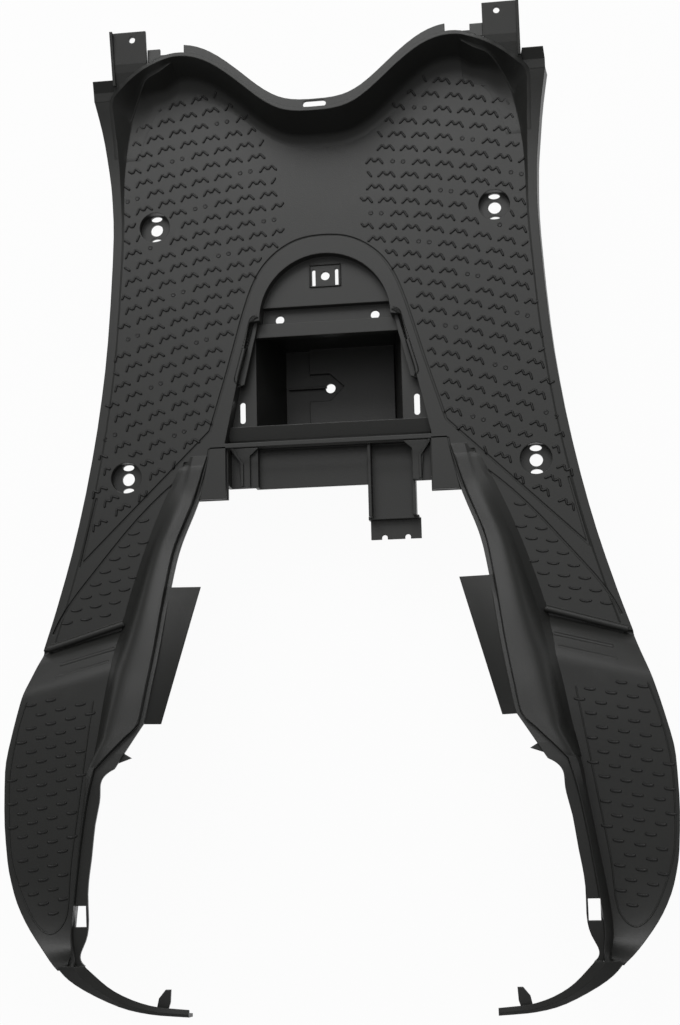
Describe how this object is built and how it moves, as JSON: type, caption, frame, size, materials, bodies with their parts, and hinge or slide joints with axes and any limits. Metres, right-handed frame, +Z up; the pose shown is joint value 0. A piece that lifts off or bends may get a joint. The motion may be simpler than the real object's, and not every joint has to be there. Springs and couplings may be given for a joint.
{
  "type": "scooter floorboard",
  "caption": "Moulded scooter footrest floor with a battery well, raised tread, two swept rear arms with pillion footrests, and a curved front ramp.",
  "frame": {"origin": "midway between the two rear bolt holes, on the bearing face under their seats", "axes": "+Y to the front of the scooter, +Z up, +X to the rider's right"},
  "size_m": [0.497, 0.7505, 0.1356],
  "materials": {
    "moulding": "satin black grained polypropylene"
  },
  "bodies": {
    "root": {"floorboard": "moulding"}
  },
  "joints": []
}
